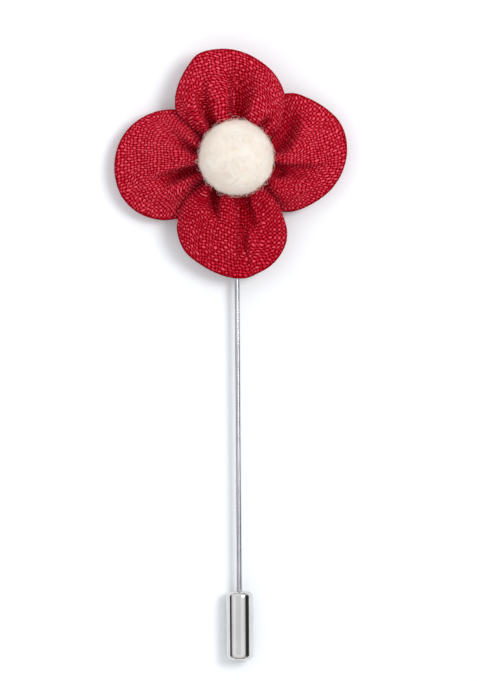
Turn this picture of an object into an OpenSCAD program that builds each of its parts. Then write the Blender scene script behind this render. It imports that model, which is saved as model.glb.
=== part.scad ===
// Flower lapel pin: four gathered linen petals and a felt ball on a long stick pin,
// with a barrel clutch pushed over the point. It lies on its back on the plane z = 0:
// +Z is the face of the flower, +Y the way from the point to the flower.
// The origin is the middle of the outline on that plane.

/* [Petals] */
// Reach of the top petal from the middle of the flower
reach_top = 20.85; // [18:0.05:24]
// Reach of the right petal
reach_right = 20.9; // [18:0.05:24]
// Reach of the bottom petal
reach_bottom = 22.45; // [19:0.05:25]
// Reach of the left petal
reach_left = 22.9; // [19:0.05:25]
// Radius of the ring on which the raw edges are gathered
gather_r = 4; // [3:0.1:4.6]
// Rise of the puffed front above the gathered ring
puff = 2.8; // [1.6:0.1:4]
// Radius at which the front is highest
crest_r = 7.6; // [7.4:0.1:9.5]
// Rise of the front just inside a folded edge
belly = 1.3; // [0.8:0.1:1.8]
// Half the thickness of a petal's folded edge
edge_half = 0.8; // [0.5:0.05:1]
// Height to which the folded edges stand up above the lowest point of a back
edge_lift = 5.2; // [4.6:0.1:5.6]
// Thickness of the gathered cloth
cloth = 1; // [0.6:0.05:1.2]
// Depth of the deepest gather beside the ball
fold_depth = 4.2; // [2:0.1:4.8]
// Width of a gather beside the ball
fold_width = 3; // [2.4:0.1:3.6]
// Depth of the small gathers on the back
back_fold = 0.5; // [0.1:0.05:0.8]
// Small gathers across the back of a petal
back_folds = 5; // [3:1:7]
// Gap between neighbouring petals beside the gathered ring
petal_gap = 0.3; // [0.2:0.05:0.6]
// Width of the flank that slips under its neighbour
lap = 0.8; // [0.3:0.05:1]
// Height by which the edges of two lapped flanks are parted
lap_rise = 1.6; // [1.5:0.05:2]

/* [Felt ball] */
// Diameter of the ball seen from the front
ball_d = 14; // [12:0.1:16]
// Thickness of the ball from front to back
ball_h = 10.4; // [9:0.1:13]

/* [Stick pin] */
// Diameter of the wire
wire_d = 1; // [0.8:0.05:1.2]
// Distance from the middle of the flower to the mouth of the clutch
stem = 80.9; // [60:0.1:95]
// Length of wire inside the clutch
wire_in = 10; // [8:0.1:11]
// Length of the sharpened point
point_len = 3.5; // [2:0.1:5]
// Diameter of the blunted tip of the point
tip_d = 0.2; // [0.1:0.05:0.3]
// Diameter of the wire's ground end, which runs in the clutch
ground_d = 0.94; // [0.7:0.02:1.1]
// Length of the taper from the wire to its ground end
ground_taper = 0.7; // [0.6:0.1:1]
// Diameter of the round pad behind the petals
pad_d = 12; // [9:0.5:12]
// Thickness of the pad
pad_t = 0.8; // [0.5:0.1:1.2]
// Length of the solder bead where the wire leaves the pad
bead_len = 1.2; // [0.8:0.1:2]
// Diameter of the solder bead
bead_d = 1.6; // [1.3:0.1:1.8]

/* [Clutch] */
// Outside diameter of the clutch
clutch_d = 5.05; // [4.6:0.05:6]
// Length of the clutch
clutch_len = 12.9; // [12:0.1:16]
// Radius of its rounded shoulders
shoulder_r = 1; // [0.4:0.1:1.4]
// Clearance all round between the ground end and the bore
bore_gap = 0.06; // [0.02:0.01:0.1]
// Distance from the tip of the wire to the floor of the bore
tip_gap = 0.5; // [0.3:0.1:1]
// Width of the bevel around the mouth of the bore
mouth_bevel = 0.25; // [0.1:0.05:0.4]

/* [Fits] */
// Gap between a soft piece and what it lies against
seat_gap = 0.3; // [0.2:0.05:0.4]
// Room left around the wire below the bottom petal
wire_room = 0.7; // [0.6:0.05:0.9]

/* [Hidden] */

// Heights, from the surface up
shaft_z = clutch_d / 2;
pad_z = shaft_z + wire_d / 2 - wire_d / 8;
base_back = pad_z + pad_t + seat_gap;
mouth_open = 0.3;
base_front = base_back + 2 * cloth + mouth_open;
base_mid = (base_back + base_front) / 2;
crest_z = base_front + puff;
ball_r = ball_d / 2;
ball_z = base_front + seat_gap + ball_h / 2 * sqrt(1 - pow(gather_r / ball_r, 2));
over_wire = shaft_z + wire_d / 2 + wire_room;

// Seams between neighbouring petals, on from the right-hand side of the flower
// columns: share of the way from the gathered ring to the notch, angle
SEAM_TOP_RIGHT = [[0, 27], [0.35, 30.5], [0.7, 42.5], [1, 53]];
SEAM_TOP_LEFT = [[0, 148], [0.35, 146.4], [0.7, 143.9], [1, 140.5]];
SEAM_BOTTOM_LEFT = [[0, 215], [0.35, 215.5], [0.7, 218.5], [1, 225.5]];
SEAM_BOTTOM_RIGHT = [[0, 315.5], [0.35, 314.5], [0.7, 313.1], [1, 309.9]];

// Radius of each notch, a share of the mean reach of the two petals that meet there
notch_top_right = 0.726 * (reach_top + reach_right) / 2;
notch_top_left = 0.669 * (reach_top + reach_left) / 2;
notch_bottom_left = 0.688 * (reach_bottom + reach_left) / 2;
notch_bottom_right = 0.598 * (reach_bottom + reach_right) / 2;

// Outlines between the notches
// columns: share of the way across the petal, share of its reach
OUTLINE_TOP = [
    [0.08, 0.79], [0.19, 0.862], [0.42, 0.97], [0.59, 1], [0.66, 0.99],
    [0.72, 0.945], [0.82, 0.868], [0.93, 0.776]
];
OUTLINE_RIGHT = [
    [0.05, 0.68], [0.19, 0.797], [0.34, 0.917], [0.48, 0.985], [0.6, 1],
    [0.68, 0.978], [0.77, 0.918], [0.87, 0.843], [0.95, 0.785]
];
OUTLINE_BOTTOM = [
    [0.05, 0.77], [0.17, 0.877], [0.29, 0.927], [0.46, 0.985], [0.57, 1],
    [0.64, 0.977], [0.76, 0.923], [0.88, 0.822], [0.94, 0.735], [0.97, 0.665]
];
OUTLINE_LEFT = [
    [0.05, 0.7], [0.11, 0.769], [0.22, 0.872], [0.34, 0.951], [0.46, 0.991],
    [0.58, 1], [0.69, 0.979], [0.81, 0.906], [0.93, 0.782]
];

// Gathers of the front, which run out from under the ball
// columns: share across the petal beside the ball, share across at the outer end,
// share outward where it is deepest, share outward of its end, share of fold_depth,
// shares of fold_width clockwise and anticlockwise of it
FOLDS_TOP = [
    [0.185, 0.085, 0.24, 0.5, 0.5, 0.5, 0.5],
    [0.53, 0.38, 0.3, 0.9, 0.85, 1.6, 0.7],
    [0.835, 0.7, 0.32, 0.9, 1, 0.7, 0.45]
];
FOLDS_RIGHT = [
    [0.238, 0.2, 0.4, 0.75, 0.25, 1.2, 1.2],
    [0.35, 0.32, 0.2, 0.45, 0.8, 0.9, 0.8],
    [0.45, 0.43, 0.28, 0.75, 0.75, 1.1, 0.5],
    [0.83, 0.78, 0.3, 0.85, 1.2, 0.9, 0.7]
];
FOLDS_BOTTOM = [
    [0.25, 0.37, 0.24, 0.55, 1.2, 0.8, 0.8],
    [0.6, 0.485, 0.5, 1.5, 0.4, 0.4, 0.4],
    [0.69, 0.7, 0.34, 0.85, 1.4, 0.9, 0.9]
];
FOLDS_LEFT = [
    [0.312, 0.173, 0.2, 0.8, 0.8, 0.6, 0.7],
    [0.705, 0.69, 0.4, 0.68, 1.3, 0.6, 0.7]
];

// Share of edge_lift to which the folded edge stands up
// columns: share of the way across the petal, share of edge_lift
LIFTS_TOP = [[0, 0.62], [0.3, 0.71], [0.65, 0.71], [1, 0.5]];
LIFTS_RIGHT = [[0, 0.52], [0.4, 0.6], [0.7, 0.62], [1, 0.7]];
LIFTS_BOTTOM = [[0, 0], [0.5, 0.02], [1, 0.04]];
LIFTS_LEFT = [[0, 0.62], [0.4, 0.5], [0.7, 0.5], [1, 0.5]];

// Height of the lowest point of a back where the petal is raised over the wire or its neighbours
top_sole = 1.5;

// How a flank lies on its neighbour
COVERS = "covers";
COVERED = "covered";

// Width over which a flank rises, beside the ball and at the notch
flank_near = 1.5;
flank_far = 3.6;
// The same for the front of a flank that lies under its neighbour
under_near = 1.6;
under_far = 3;
// And for the back of a flank that lies over its neighbour
over_near = 2;
over_far = 5;
// Distance outward from the pad in which lapping flanks part in height
lap_climb = 3;
// Least thickness of a petal in the floor of a gather
web = 1.4;
// Least opening left between front and back cloth
pinch = 0.3;
// Share of a petal's free length over which its front and its back swell from the folded edge
front_swell = 0.28;
back_swell = 0.62;
// Share outward at which the gathers reach their depth, under the ball
fold_start = 0.2;
// Least share of fold_width on either side of a gather
narrowest = 0.6;
// Distance over which a back falls from the pad to its sole
back_fall = 5;

// Mesh of a petal: strips across, rings outward on the outside and on the inside
ACROSS = 24;
RINGS = 18;
INNER_RINGS = 11;

// One row of a petal's facts, read by name below
function facts(reach, seam_a, seam_b, turn_a, notch_a, notch_b, outline, folds, sole, lifts, side_a, side_b) = [
    reach, seam_a, seam_b, turn_a, notch_a, notch_b,
    concat([[0, notch_a / reach]], outline, [[1, notch_b / reach]]),
    folds, sole, lifts, side_a, side_b
];
TOP = facts(reach_top, SEAM_TOP_RIGHT, SEAM_TOP_LEFT, 0, notch_top_right, notch_top_left,
    OUTLINE_TOP, FOLDS_TOP, top_sole, LIFTS_TOP, COVERS, COVERS);
LEFT = facts(reach_left, SEAM_TOP_LEFT, SEAM_BOTTOM_LEFT, 0, notch_top_left, notch_bottom_left,
    OUTLINE_LEFT, FOLDS_LEFT, 0, LIFTS_LEFT, COVERED, COVERED);
BOTTOM = facts(reach_bottom, SEAM_BOTTOM_LEFT, SEAM_BOTTOM_RIGHT, 0, notch_bottom_left, notch_bottom_right,
    OUTLINE_BOTTOM, FOLDS_BOTTOM, over_wire, LIFTS_BOTTOM, COVERS, COVERS);
RIGHT = facts(reach_right, SEAM_BOTTOM_RIGHT, SEAM_TOP_RIGHT, -360, notch_bottom_right, notch_top_right,
    OUTLINE_RIGHT, FOLDS_RIGHT, 0, LIFTS_RIGHT, COVERED, COVERED);

function reach_of(p) = p[0];
function outline_of(p) = p[6];
function folds_of(p) = p[7];
function sole_of(p) = p[8];
function lifts_of(p) = p[9];
function side_of(p, far) = far ? p[11] : p[10];

function mix(a, b, w) = a + (b - a) * w;
function clamp(x) = min(max(x, 0), 1);
function ease(x) = let (c = clamp(x)) c * c * (3 - 2 * c);
function swell_up(x) = sin(90 * clamp(x));
function round_over(d) = sqrt(1 - pow(1 - clamp(d / edge_half), 2));
function total(v, i = 0) = i >= len(v) ? 0 : v[i] + total(v, i + 1);

// A smooth curve through the rows of a table
function row_before(rows, x, i = 0) = i >= len(rows) - 2 || x < rows[i + 1][0] ? i : row_before(rows, x, i + 1);
function steepness(rows, i) =
    let (a = rows[max(i - 1, 0)], b = rows[min(i + 1, len(rows) - 1)])
    (b[1] - a[1]) / (b[0] - a[0]);
function through(rows, x) =
    let (
        i = row_before(rows, x),
        w = rows[i + 1][0] - rows[i][0],
        u = clamp((x - rows[i][0]) / w),
        h = u * u * (3 - 2 * u)
    )
    mix(rows[i][1], rows[i + 1][1], h)
    + w * (u * pow(1 - u, 2) * steepness(rows, i) - u * u * (1 - u) * steepness(rows, i + 1));

// Where a point of a petal lies: s runs from the gathered ring to the outline, t across
function seam_angle(p, s, far) = through(far ? p[2] : p[1], s) + (far ? 0 : p[3]);
function flank_r(p, s, far) = mix(gather_r, far ? p[5] : p[4], s);
function shift(side, s) = mix(petal_gap / 2, side == COVERED ? -lap : 0, ease((s - 0.25) / 0.4));
function flank_angle(p, s, far) =
    seam_angle(p, s, far) + (far ? -1 : 1) * shift(side_of(p, far), s) / flank_r(p, s, far) * 180 / PI;
function angle(p, s, t) = mix(flank_angle(p, s, false), flank_angle(p, s, true), t);
function between_notches(p, t) =
    clamp((angle(p, 1, t) - seam_angle(p, 1, false)) / (seam_angle(p, 1, true) - seam_angle(p, 1, false)));
function outline_r(p, t) = reach_of(p) * through(outline_of(p), between_notches(p, t));
function radius(p, s, t) = mix(gather_r, outline_r(p, t), s);
function arc(p, s, t) = radius(p, s, t) * (flank_angle(p, s, true) - flank_angle(p, s, false)) * PI / 180;

// Distances to the folded edge and to a flank, where the petal is wide across
function from_edge(p, s, t) = (1 - s) * (outline_r(p, t) - gather_r);
function from_flank(wide, t, far) = wide * (far ? 1 - t : t);

// Height of the line where front and back meet
function past_pad(r) = r - pad_d / 2 - seat_gap;
function edge_z(p, t) = sole_of(p) + edge_half + through(lifts_of(p), t) * edge_lift;
function half_rise(side) = side == COVERS ? lap_rise / 2 : -lap_rise / 2;
function flank_lift(p, r, t) =
    ease(past_pad(r) / lap_climb)
    * (half_rise(side_of(p, false)) * (1 - ease(t / 0.5)) + half_rise(side_of(p, true)) * (1 - ease((1 - t) / 0.5)));
function rim_z(p, s, t) =
    let (r = radius(p, s, t))
    mix(base_mid, edge_z(p, t), pow(clamp(past_pad(r) / past_pad(outline_r(p, t))), 0.8)) + flank_lift(p, r, t);
function edge_round(p, s, t) =
    let (wide = arc(p, s, t))
    round_over(from_edge(p, s, t)) * round_over(from_flank(wide, t, false)) * round_over(from_flank(wide, t, true));

// Rise of the cloth from a flank and from the folded edge, for the front or the back
function flank_rise(p, s, t, wide, far, hidden_side) =
    let (d = from_flank(wide, t, far))
    side_of(p, far) != hidden_side ? swell_up(d / mix(flank_near, flank_far, s))
        : hidden_side == COVERED ? ease(d / mix(under_near, under_far, s))
        : ease(d / mix(over_near, over_far, s));
function pillow(p, s, t, hidden_side) =
    let (wide = arc(p, s, t))
    swell_up((1 - s) / (hidden_side == COVERED ? front_swell : back_swell))
    * flank_rise(p, s, t, wide, false, hidden_side) * flank_rise(p, s, t, wide, true, hidden_side);

// Gathers
function fold(s, t, r, wide, row) =
    let (
        along = clamp((s - row[2]) / (row[3] - row[2])),
        d = (t - mix(row[0], row[1], along)) * wide,
        w = fold_width * max(d < 0 ? row[5] : row[6], narrowest) * pow(r / ball_r, 0.6),
        flare = pow(1 - pow(clamp(abs(d) / w), 2), 2)
    )
    fold_depth * row[4] * ease(s / fold_start) * (1 - ease(along)) * flare;
function folded(p, s, t) =
    let (r = radius(p, s, t), wide = arc(p, s, t))
    total([for (row = folds_of(p)) fold(s, t, r, wide, row)]);

// Heights of the two faces of a petal
function front_goal(p, s, t) =
    let (
        r = radius(p, s, t),
        edge = edge_z(p, t) + flank_lift(p, r, t) + belly,
        dome = mix(crest_z, edge, ease((r - crest_r) / (outline_r(p, t) - crest_r)))
    )
    mix(base_front, dome, swell_up(pow(clamp((r - gather_r) / (crest_r - gather_r)), 2.2)))
    - folded(p, s, t);
function back_goal(p, s, t) =
    mix(base_back, sole_of(p), ease(past_pad(radius(p, s, t)) / back_fall))
    + back_fold * (0.5 - 0.5 * cos(360 * back_folds * t)) * ease(s / 0.2) * (1 - ease(s / 0.75));
function back_z(p, s, t) =
    let (rim = rim_z(p, s, t), edge = edge_half * edge_round(p, s, t))
    rim - edge + (back_goal(p, s, t) - rim + edge_half) * pillow(p, s, t, COVERS);
function front_z(p, s, t) =
    let (
        rim = rim_z(p, s, t),
        edge = edge_round(p, s, t),
        puffed = rim + edge_half * edge + (front_goal(p, s, t) - rim - edge_half) * pillow(p, s, t, COVERED)
    )
    max(puffed, back_z(p, s, t) + web * edge);

// A point of the outer face, and of the hollow inside the cloth
function place(p, s, t, z) = let (r = radius(p, s, t), a = angle(p, s, t)) [r * cos(a), r * sin(a), z];
function outer_point(p, s, t, front) = place(p, s, t, front ? front_z(p, s, t) : back_z(p, s, t));
// The inner roof keeps below the deepest part of the gathers around it
function deepest(p, s, t) =
    max([for (i = [-1:1]) for (j = [-1:1])
        folded(p, clamp(s + i / INNER_RINGS), clamp(t + j / ACROSS))]);
function inner_point(p, s, t, front) =
    let (
        si = s * (1 - cloth / (outline_r(p, t) - gather_r)),
        inset = cloth / arc(p, si, 0.5),
        ti = mix(inset, 1 - inset, t),
        at_rim = s >= 1 || t <= 0 || t >= 1,
        zb = back_z(p, si, ti),
        above = front_z(p, si, ti),
        sunk = (deepest(p, si, ti) - folded(p, si, ti)) * pillow(p, si, ti, COVERED),
        zf = at_rim ? above : max(above - sunk, min(above, zb + web)),
        half = at_rim ? 0 : max((zf - zb) / 2 - cloth, pinch / 2)
    )
    place(p, si, ti, (zf + zb) / 2 + (front ? half : -half));

// Shares across and outward, closer together at the rims
function across(j) = (1 - cos(180 * j / ACROSS)) / 2;
function outward(i, rings) = sin(90 * i / rings);

// Loops around a petal, front then back, and the line along its folded edge
LOOP = 2 * ACROSS;
function loop_t(k) = across(k <= ACROSS ? k : LOOP - k);
function skin_points(p, rings, inside) = concat(
    [for (i = [0:rings - 1]) for (k = [0:LOOP - 1])
        let (s = outward(i, rings), t = loop_t(k), front = k <= ACROSS)
        inside ? inner_point(p, s, t, front) : outer_point(p, s, t, front)],
    [for (k = [0:ACROSS]) inside ? inner_point(p, 1, across(k), true) : outer_point(p, 1, across(k), true)]
);
function skin_index(i, k, rings) =
    let (m = k % LOOP)
    i < rings ? i * LOOP + m : rings * LOOP + (m <= ACROSS ? m : LOOP - m);
function two_triangles(a, b, c, d) = [[a, b, c], [a, c, d]];
function skin_faces(rings, first, inside) = [
    for (i = [0:rings - 1]) for (k = [0:LOOP - 1])
        let (
            a = first + skin_index(i, k, rings),
            b = first + skin_index(i, k + 1, rings),
            c = first + skin_index(i + 1, k + 1, rings),
            d = first + skin_index(i + 1, k, rings)
        )
        for (f = inside ? two_triangles(a, d, c, b) : two_triangles(a, b, c, d)) f
];
function mouth_faces(first) = [
    for (k = [0:LOOP - 1])
        let (a = k, b = (k + 1) % LOOP)
        for (f = two_triangles(a, first + a, first + b, b)) f
];

// The middle of the whole outline, which is the origin
right_side = max([for (j = [0:ACROSS]) outer_point(RIGHT, 1, across(j), true)[0]]);
left_side = min([for (j = [0:ACROSS]) outer_point(LEFT, 1, across(j), true)[0]]);
top_side = max([for (j = [0:ACROSS]) outer_point(TOP, 1, across(j), true)[1]]);
low_end = -stem - clutch_len;
to_origin = [-(right_side + left_side) / 2, -(top_side + low_end) / 2, 0];

// A gathered petal: a hollow pocket of cloth, open where it is stitched
module petal(p) {
    outer = skin_points(p, RINGS, false);
    inner = skin_points(p, INNER_RINGS, true);
    translate(to_origin)
        polyhedron(
            points = concat(outer, inner),
            faces = concat(
                skin_faces(RINGS, 0, false),
                skin_faces(INNER_RINGS, len(outer), true),
                mouth_faces(len(outer))
            )
        );
}

module petal_top() {
    color("crimson") petal(TOP);
}

module petal_right() {
    color("crimson") petal(RIGHT);
}

module petal_bottom() {
    color("crimson") petal(BOTTOM);
}

module petal_left() {
    color("crimson") petal(LEFT);
}

// The felt ball, a little flattened, in the nest of the gathers
module felt_ball() {
    steps = 20;
    color("antiquewhite")
        translate(to_origin + [0, 0, ball_z])
            rotate_extrude($fn = 64)
                polygon([for (i = [0:steps])
                    let (a = -90 + 180 * i / steps)
                    [ball_r * cos(a), ball_h / 2 * sin(a)]]);
}

// Lays a turned piece along the shaft: its +Z runs down the stem from the middle of the flower
module along_shaft() {
    translate(to_origin + [0, 0, shaft_z]) rotate([90, 0, 0]) children();
}

// The wire, its ground end and point, and the pad soldered on top of it
module stick_pin() {
    ground_from = stem + ground_taper - mouth_bevel;
    point_from = stem + wire_in - point_len;
    color("silver")
        union() {
            along_shaft() {
                translate([0, 0, -pad_d / 2]) cylinder(d = wire_d, h = ground_from - ground_taper + pad_d / 2, $fn = 48);
                translate([0, 0, pad_d / 2 - bead_len / 2]) cylinder(d1 = bead_d, d2 = wire_d, h = bead_len, $fn = 48);
                translate([0, 0, ground_from - ground_taper])
                    cylinder(d1 = wire_d, d2 = ground_d, h = ground_taper, $fn = 48);
                translate([0, 0, ground_from]) cylinder(d = ground_d, h = point_from - ground_from, $fn = 48);
                translate([0, 0, point_from]) cylinder(d1 = ground_d, d2 = tip_d, h = point_len, $fn = 48);
            }
            translate(to_origin + [0, 0, pad_z]) cylinder(d = pad_d, h = pad_t, $fn = 96);
        }
}

// The barrel clutch, drilled from its mouth
module clutch() {
    r = clutch_d / 2;
    bore_r = ground_d / 2 + bore_gap;
    shoulder = min(shoulder_r, r - bore_r - mouth_bevel);
    steps = 6;
    bend = [for (i = [0:steps]) 90 * i / steps];
    color("gainsboro")
        along_shaft()
            translate([0, 0, stem])
                difference() {
                    rotate_extrude($fn = 96)
                        polygon(concat(
                            [[0, 0]],
                            [for (a = bend) [r - shoulder + shoulder * sin(a), shoulder - shoulder * cos(a)]],
                            [for (a = bend) [r - shoulder + shoulder * cos(a), clutch_len - shoulder + shoulder * sin(a)]],
                            [[0, clutch_len]]
                        ));
                    translate([0, 0, -mouth_bevel])
                        cylinder(r1 = bore_r + 2 * mouth_bevel, r2 = bore_r, h = 2 * mouth_bevel, $fn = 48);
                    translate([0, 0, -mouth_bevel])
                        cylinder(r = bore_r, h = wire_in + tip_gap + mouth_bevel, $fn = 48);
                }
}

petal_top();
petal_right();
petal_bottom();
petal_left();
felt_ball();
stick_pin();
clutch();
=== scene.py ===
"""A flower lapel pin: gathered linen petals and a felt ball on a long stick pin with a barrel clutch.

The petals and the ball are modelled here thread by thread and fibre by fibre over their plain solids.
The wire, its pad and the clutch are the solids themselves, in plated and polished finishes.
Lengths are in millimetres inside the classes and become metres where a mesh is made.
"""

import logging
import math
from dataclasses import dataclass, field
from enum import Enum
from functools import partial
from typing import Any

import bmesh
import bpy
import numpy as np
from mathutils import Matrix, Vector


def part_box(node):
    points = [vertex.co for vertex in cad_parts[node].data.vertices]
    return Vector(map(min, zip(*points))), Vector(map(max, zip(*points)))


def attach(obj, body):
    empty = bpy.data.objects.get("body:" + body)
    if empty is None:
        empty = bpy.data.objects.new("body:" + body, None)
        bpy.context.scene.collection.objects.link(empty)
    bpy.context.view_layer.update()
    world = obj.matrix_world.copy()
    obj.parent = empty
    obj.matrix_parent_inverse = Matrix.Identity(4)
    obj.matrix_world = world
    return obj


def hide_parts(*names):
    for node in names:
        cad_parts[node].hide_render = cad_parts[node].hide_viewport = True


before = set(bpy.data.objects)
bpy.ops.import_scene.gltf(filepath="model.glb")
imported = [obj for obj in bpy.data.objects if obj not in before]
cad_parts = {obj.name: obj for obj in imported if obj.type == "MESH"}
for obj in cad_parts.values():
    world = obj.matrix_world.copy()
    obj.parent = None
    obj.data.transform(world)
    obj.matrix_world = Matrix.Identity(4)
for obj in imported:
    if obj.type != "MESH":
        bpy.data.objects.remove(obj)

LOG = logging.getLogger("lapel_pin")
MM = 0.001
Array = np.ndarray
Table = tuple[tuple[float, float], ...]
Colour = tuple[float, float, float, float]
Rail = tuple[Array, Array]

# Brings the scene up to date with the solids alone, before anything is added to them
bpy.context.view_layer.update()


class Side(Enum):
    """How a petal's flank lies against its neighbour's."""

    COVERS = 1
    COVERED = -1


class Thread(Enum):
    """The threads of a woven cloth: the warp stands a little prouder of it than the weft."""

    WARP = "warp"
    WEFT = "weft"


# Shared arithmetic


def mix(a: Any, b: Any, share: Any) -> Any:
    """Returns the value that lies share of the way from a to b."""
    return a + (b - a) * share


def clamp(x: Any) -> Any:
    """Returns x kept between 0 and 1."""
    return np.clip(x, 0.0, 1.0)


def ease(x: Any) -> Any:
    """Returns a smooth step from 0 to 1 as x goes from 0 to 1."""
    c = clamp(x)
    return c * c * (3 - 2 * c)


def swell_up(x: Any) -> Any:
    """Returns a rise from 0 to 1 that starts steeply, as a stuffed edge does."""
    return np.sin(0.5 * math.pi * clamp(x))


def unit(vectors: Array) -> Array:
    """Returns vectors one unit long that point the same ways."""
    return vectors / np.maximum(np.linalg.norm(vectors, axis=-1, keepdims=True), 1e-9)


def through(rows: Table, x: Any) -> Any:
    """Reads a table as a smooth curve.

    Args:
        rows: pairs of a place and the value there, by rising place.
        x: the places to read.

    Returns:
        The values at x.
    """
    places, values = (np.array(column, float) for column in zip(*rows))
    last = len(rows) - 1
    low, high = np.maximum(np.arange(last + 1) - 1, 0), np.minimum(np.arange(last + 1) + 1, last)
    slopes = (values[high] - values[low]) / (places[high] - places[low])
    i = np.clip(np.searchsorted(places, x, side="right") - 1, 0, last - 1)
    width = places[i + 1] - places[i]
    u = clamp((x - places[i]) / width)
    bend = u * (1 - u) ** 2 * slopes[i] - u * u * (1 - u) * slopes[i + 1]
    return mix(values[i], values[i + 1], ease(u)) + width * bend


def linear(hex_colour: str) -> Colour:
    """Turns an sRGB colour into the linear values that a shader takes.

    Args:
        hex_colour: six hex digits, such as C4283A.

    Returns:
        Red, green, blue and full opacity.
    """
    shares = [int(hex_colour[i : i + 2], 16) / 255 for i in (0, 2, 4)]
    values = [x / 12.92 if x <= 0.04045 else ((x + 0.055) / 1.055) ** 2.4 for x in shares]
    return (*values, 1.0)


def waves(points: Array, octaves: Table, seed: int) -> Array:
    """Gives each point a smooth, irregular height.

    Args:
        points: the points, one a row, in mm.
        octaves: pairs of a wavelength and a height, in mm.
        seed: fixes the pattern.

    Returns:
        The height at each point.
    """
    rng = np.random.default_rng(seed)
    total = np.zeros(len(points))
    count = 14
    for length, height in octaves:
        ways = rng.normal(size=(count, points.shape[1]))
        ways *= (2 * math.pi / length) / np.linalg.norm(ways, axis=1)[:, None]
        ways *= rng.uniform(0.7, 1.3, size=(count, 1))
        phases = rng.uniform(0, 2 * math.pi, size=count)
        total += height * np.cos(points @ ways.T + phases).sum(1) / math.sqrt(count / 2)
    return total


# Meshes


def hang(name: str, data: bpy.types.ID) -> bpy.types.Object:
    """Puts an object in the scene.

    Args:
        name: its name.
        data: its mesh, camera or lamp.

    Returns:
        The object.
    """
    thing = bpy.data.objects.new(name, data)
    bpy.context.scene.collection.objects.link(thing)
    return thing


@dataclass
class MeshStock:
    """Points and faces on their way to becoming one mesh."""

    points: list[Array] = field(default_factory=list)
    faces: list[Array] = field(default_factory=list)
    count: int = 0

    def add_points(self, points: Array) -> Array:
        """Adds points.

        Args:
            points: a grid of them, in mm.

        Returns:
            Their numbers, in the shape of the grid.
        """
        flat = points.reshape(-1, points.shape[-1])
        numbers = np.arange(self.count, self.count + len(flat)).reshape(points.shape[:-1])
        self.points.append(flat)
        self.count += len(flat)
        return numbers

    def add_grid(self, numbers: Array, flipped: bool = False) -> None:
        """Covers a grid of numbered points with quads.

        Args:
            numbers: the points' numbers, rows outward and columns anticlockwise.
            flipped: True for a sheet that faces down.
        """
        a, b = numbers[:-1, :-1].ravel(), numbers[1:, :-1].ravel()
        c, d = numbers[1:, 1:].ravel(), numbers[:-1, 1:].ravel()
        self.faces.append(np.stack([a, d, c, b] if flipped else [a, b, c, d], 1))

    def add_ladder(self, first: Rail, second: Rail, flipped: bool = False) -> None:
        """Joins two rows of points that run side by side with triangles.

        Args:
            first: the numbers of one row's points, and how far along each is.
            second: the same for the other row.
            flipped: True for triangles that are turned over.
        """
        (one, at_one), (two, at_two) = first, second
        i, j, made = 0, 0, []
        while i < len(one) - 1 or j < len(two) - 1:
            step_one = j == len(two) - 1 or (i < len(one) - 1 and at_one[i + 1] <= at_two[j + 1])
            nxt = one[i + 1] if step_one else two[j + 1]
            made.append((one[i], nxt, two[j]) if flipped else (one[i], two[j], nxt))
            i, j = (i + 1, j) if step_one else (i, j + 1)
        self.faces.append(np.array(made))

    def make(self, name: str) -> bpy.types.Object:
        """Makes the object, in metres and smooth shaded.

        Args:
            name: the object's name.

        Returns:
            The object.
        """
        mesh = bpy.data.meshes.new(name)
        faces = [face for group in self.faces for face in group.tolist()]
        mesh.from_pydata(np.concatenate(self.points) * MM, [], faces, shade_flat=False)
        mesh.validate()
        return hang(name, mesh)


def rim_of(numbers: Array, s: Array, t: Array) -> Rail:
    """Follows a grid's rim: up its first column, along its last row and down its last column.

    Args:
        numbers: the grid's point numbers.
        s: how far outward each is, from 0 to 1.
        t: how far across each is, from 0 to 1.

    Returns:
        The rim's point numbers, and how far along each is.
    """
    rim = np.concatenate([numbers[:, 0], numbers[-1, 1:-1], numbers[::-1, -1]])
    far = np.concatenate([s[:, 0], 1 + t[-1, 1:-1], 3 - s[::-1, -1]])
    return rim, np.maximum.accumulate(far)


def corner_points(thing: bpy.types.Object) -> Array:
    """Finds which point each face corner of a mesh is at.

    Args:
        thing: the object.

    Returns:
        The points' numbers.
    """
    numbers = np.zeros(len(thing.data.loops), np.int32)
    thing.data.loops.foreach_get("vertex_index", numbers)
    return numbers


def add_map(thing: bpy.types.Object, name: str, per_corner: Array) -> None:
    """Gives a mesh a named map, from two numbers for each face corner."""
    layer = thing.data.uv_layers.new(name=name, do_init=False)
    layer.uv.foreach_set("vector", per_corner.astype(np.float32).ravel())


def add_value(thing: bpy.types.Object, name: str, values: Array) -> None:
    """Stores one number a point under a name that materials can read."""
    layer = thing.data.attributes.new(name, "FLOAT", "POINT")
    layer.data.foreach_set("value", values.astype(np.float32))


# Finishes


def add(
    tree: bpy.types.NodeTree, kind: str, inputs: Any = (), out: Any = 0, stops: Any = (), **settings: Any
) -> Any:
    """Adds a node with its settings and links.

    Args:
        tree: the material's or world's node tree.
        kind: the node's type, without ShaderNode, or what a maths node does, in capitals.
        inputs: what is linked to each input or is its value, in order, or by name or number.
        out: the name or number of the output that is wanted.
        stops: a ramp's places from 0 to 1, with their colours.
        settings: the node's own properties.

    Returns:
        The output, or None from a node that ends the tree.
    """
    if kind.isupper():
        kind, settings = "Math", {"operation": kind}
    node = tree.nodes.new("ShaderNode" + kind)
    for name, value in settings.items():
        setattr(node, name, value)
    for name, value in inputs.items() if isinstance(inputs, dict) else enumerate(inputs):
        if isinstance(value, bpy.types.NodeSocket):
            tree.links.new(value, node.inputs[name])
        else:
            node.inputs[name].default_value = value
    for _ in stops[2:]:
        node.color_ramp.elements.new(1.0)
    for i, (place, colour) in enumerate(stops):
        node.color_ramp.elements[i].position = place
        node.color_ramp.elements[i].color = colour
    return node.outputs[out] if node.outputs else None


def wear(thing: bpy.types.Object, material: bpy.types.Material) -> None:
    """Puts one material on the whole of an object."""
    thing.data.materials.clear()
    thing.data.materials.append(material)


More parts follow.
